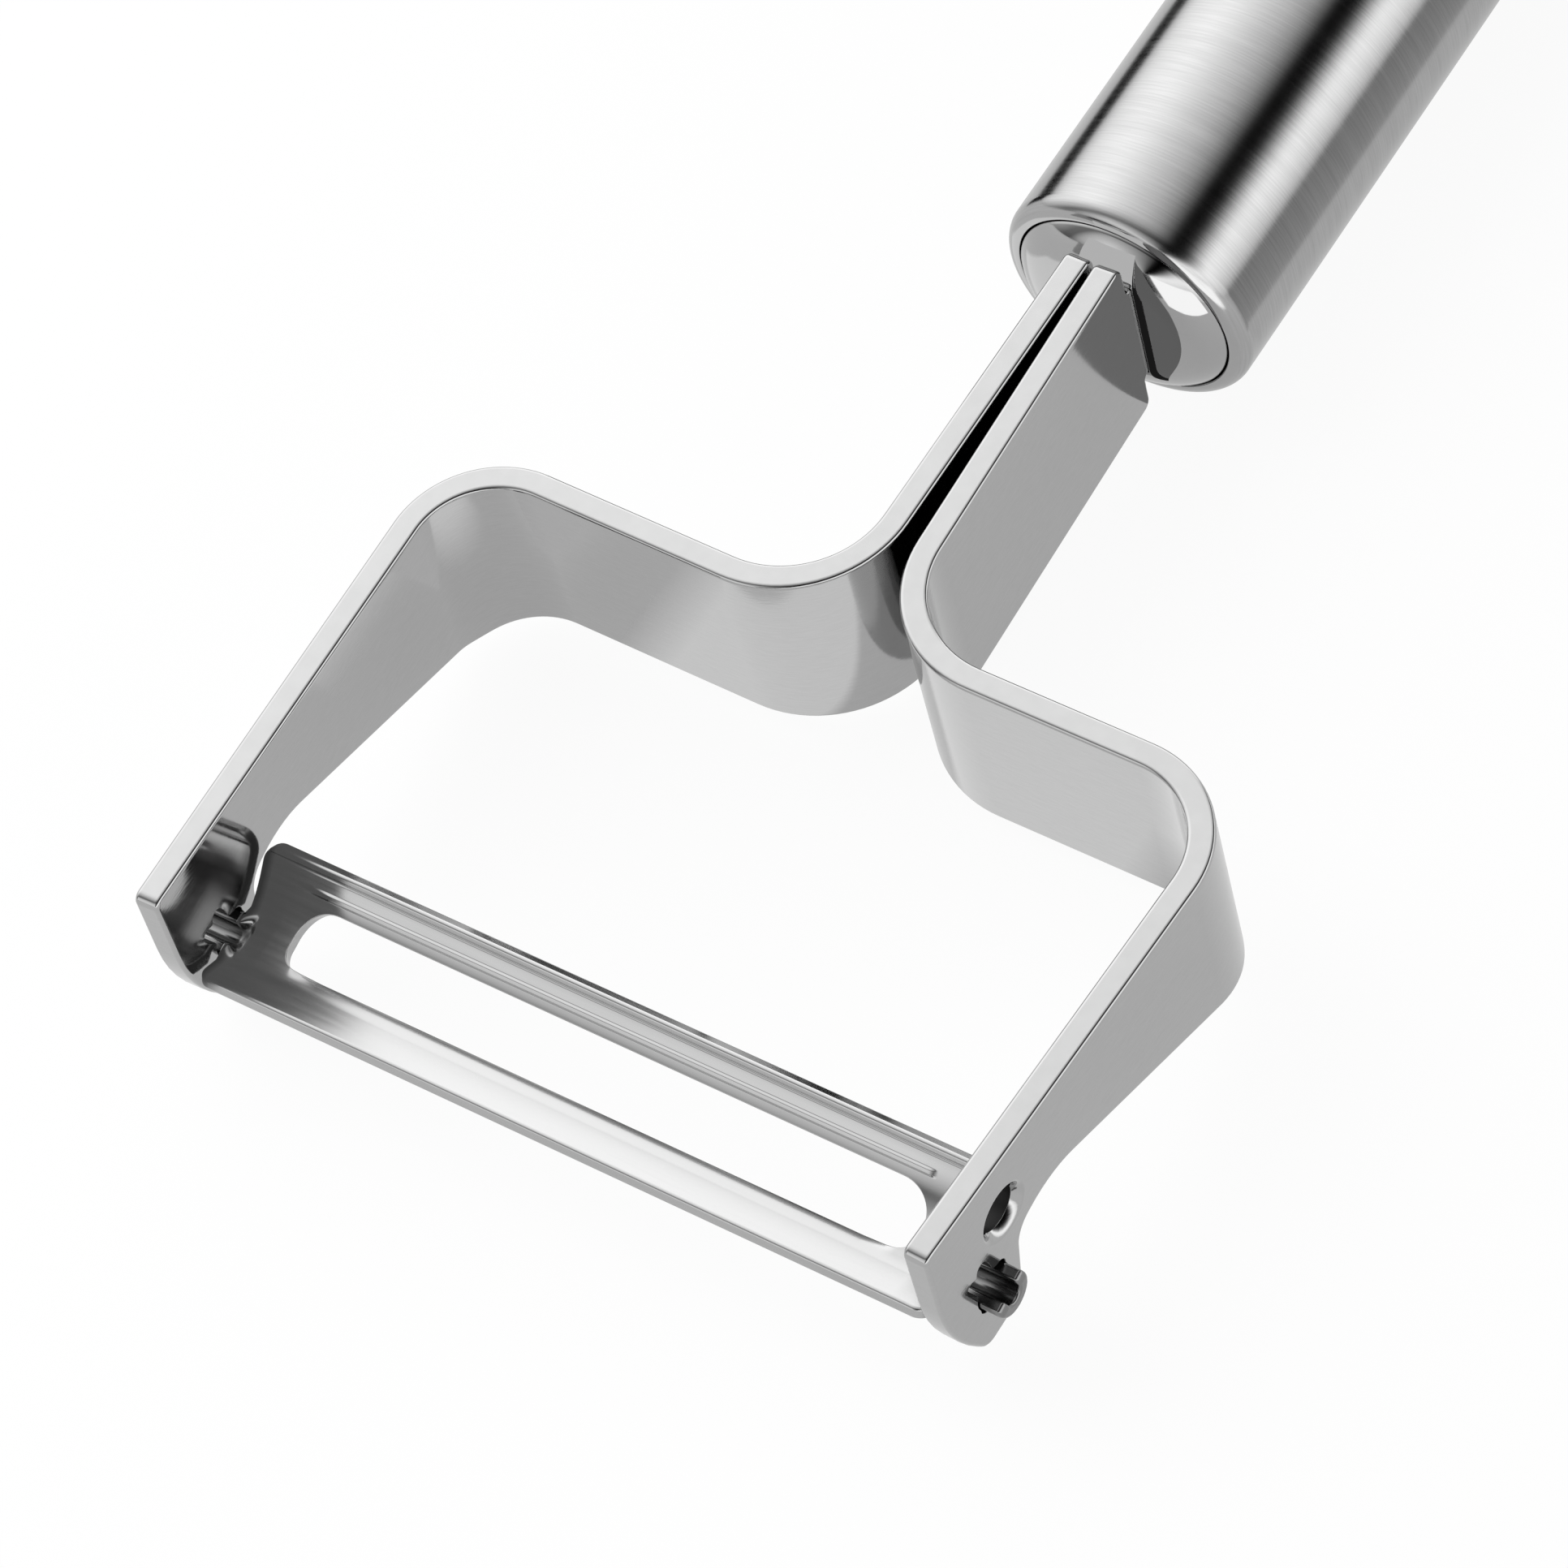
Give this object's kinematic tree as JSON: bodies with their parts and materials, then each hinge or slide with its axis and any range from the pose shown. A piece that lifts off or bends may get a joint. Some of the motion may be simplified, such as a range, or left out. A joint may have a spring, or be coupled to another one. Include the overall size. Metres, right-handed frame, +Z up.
{
  "type": "vegetable peeler",
  "caption": "All-metal vegetable peeler: a slotted cross blade swivels between the arms of a bent two-strip fork on a round tubular handle with a hanging eye.",
  "frame": {"origin": "centre of the object's bounding box in X and Y, on the surface that the handle lies on", "axes": "+X along the blade, +Y from the fork towards the end of the handle, +Z up, square to the plane of the fork"},
  "size_m": [0.0606, 0.185, 0.018],
  "materials": {
    "brushed_handle": "fine circumferential brushing",
    "polished_steel": "polished",
    "satin_strip": "polished satin",
    "blade_steel": "pressed and ground",
    "core_plastic": "moulded, hidden",
    "pin_steel": "hidden"
  },
  "bodies": {
    "handle": {"handle_tube": "brushed_handle", "front_cap": "polished_steel", "rear_cap": "polished_steel", "hanging_eye": "polished_steel", "core": "core_plastic", "pin_front": "pin_steel", "pin_rear": "pin_steel", "frame_left": "satin_strip", "frame_right": "satin_strip"},
    "blade": {"blade": "blade_steel"}
  },
  "joints": [
    {"name": "blade_swivel", "type": "hinge", "parent": "handle", "child": "blade", "pos_m": [0, -0.08793, 0.0065], "axis": [1, 0, 0], "range_deg": [-25, 25]}
  ]
}
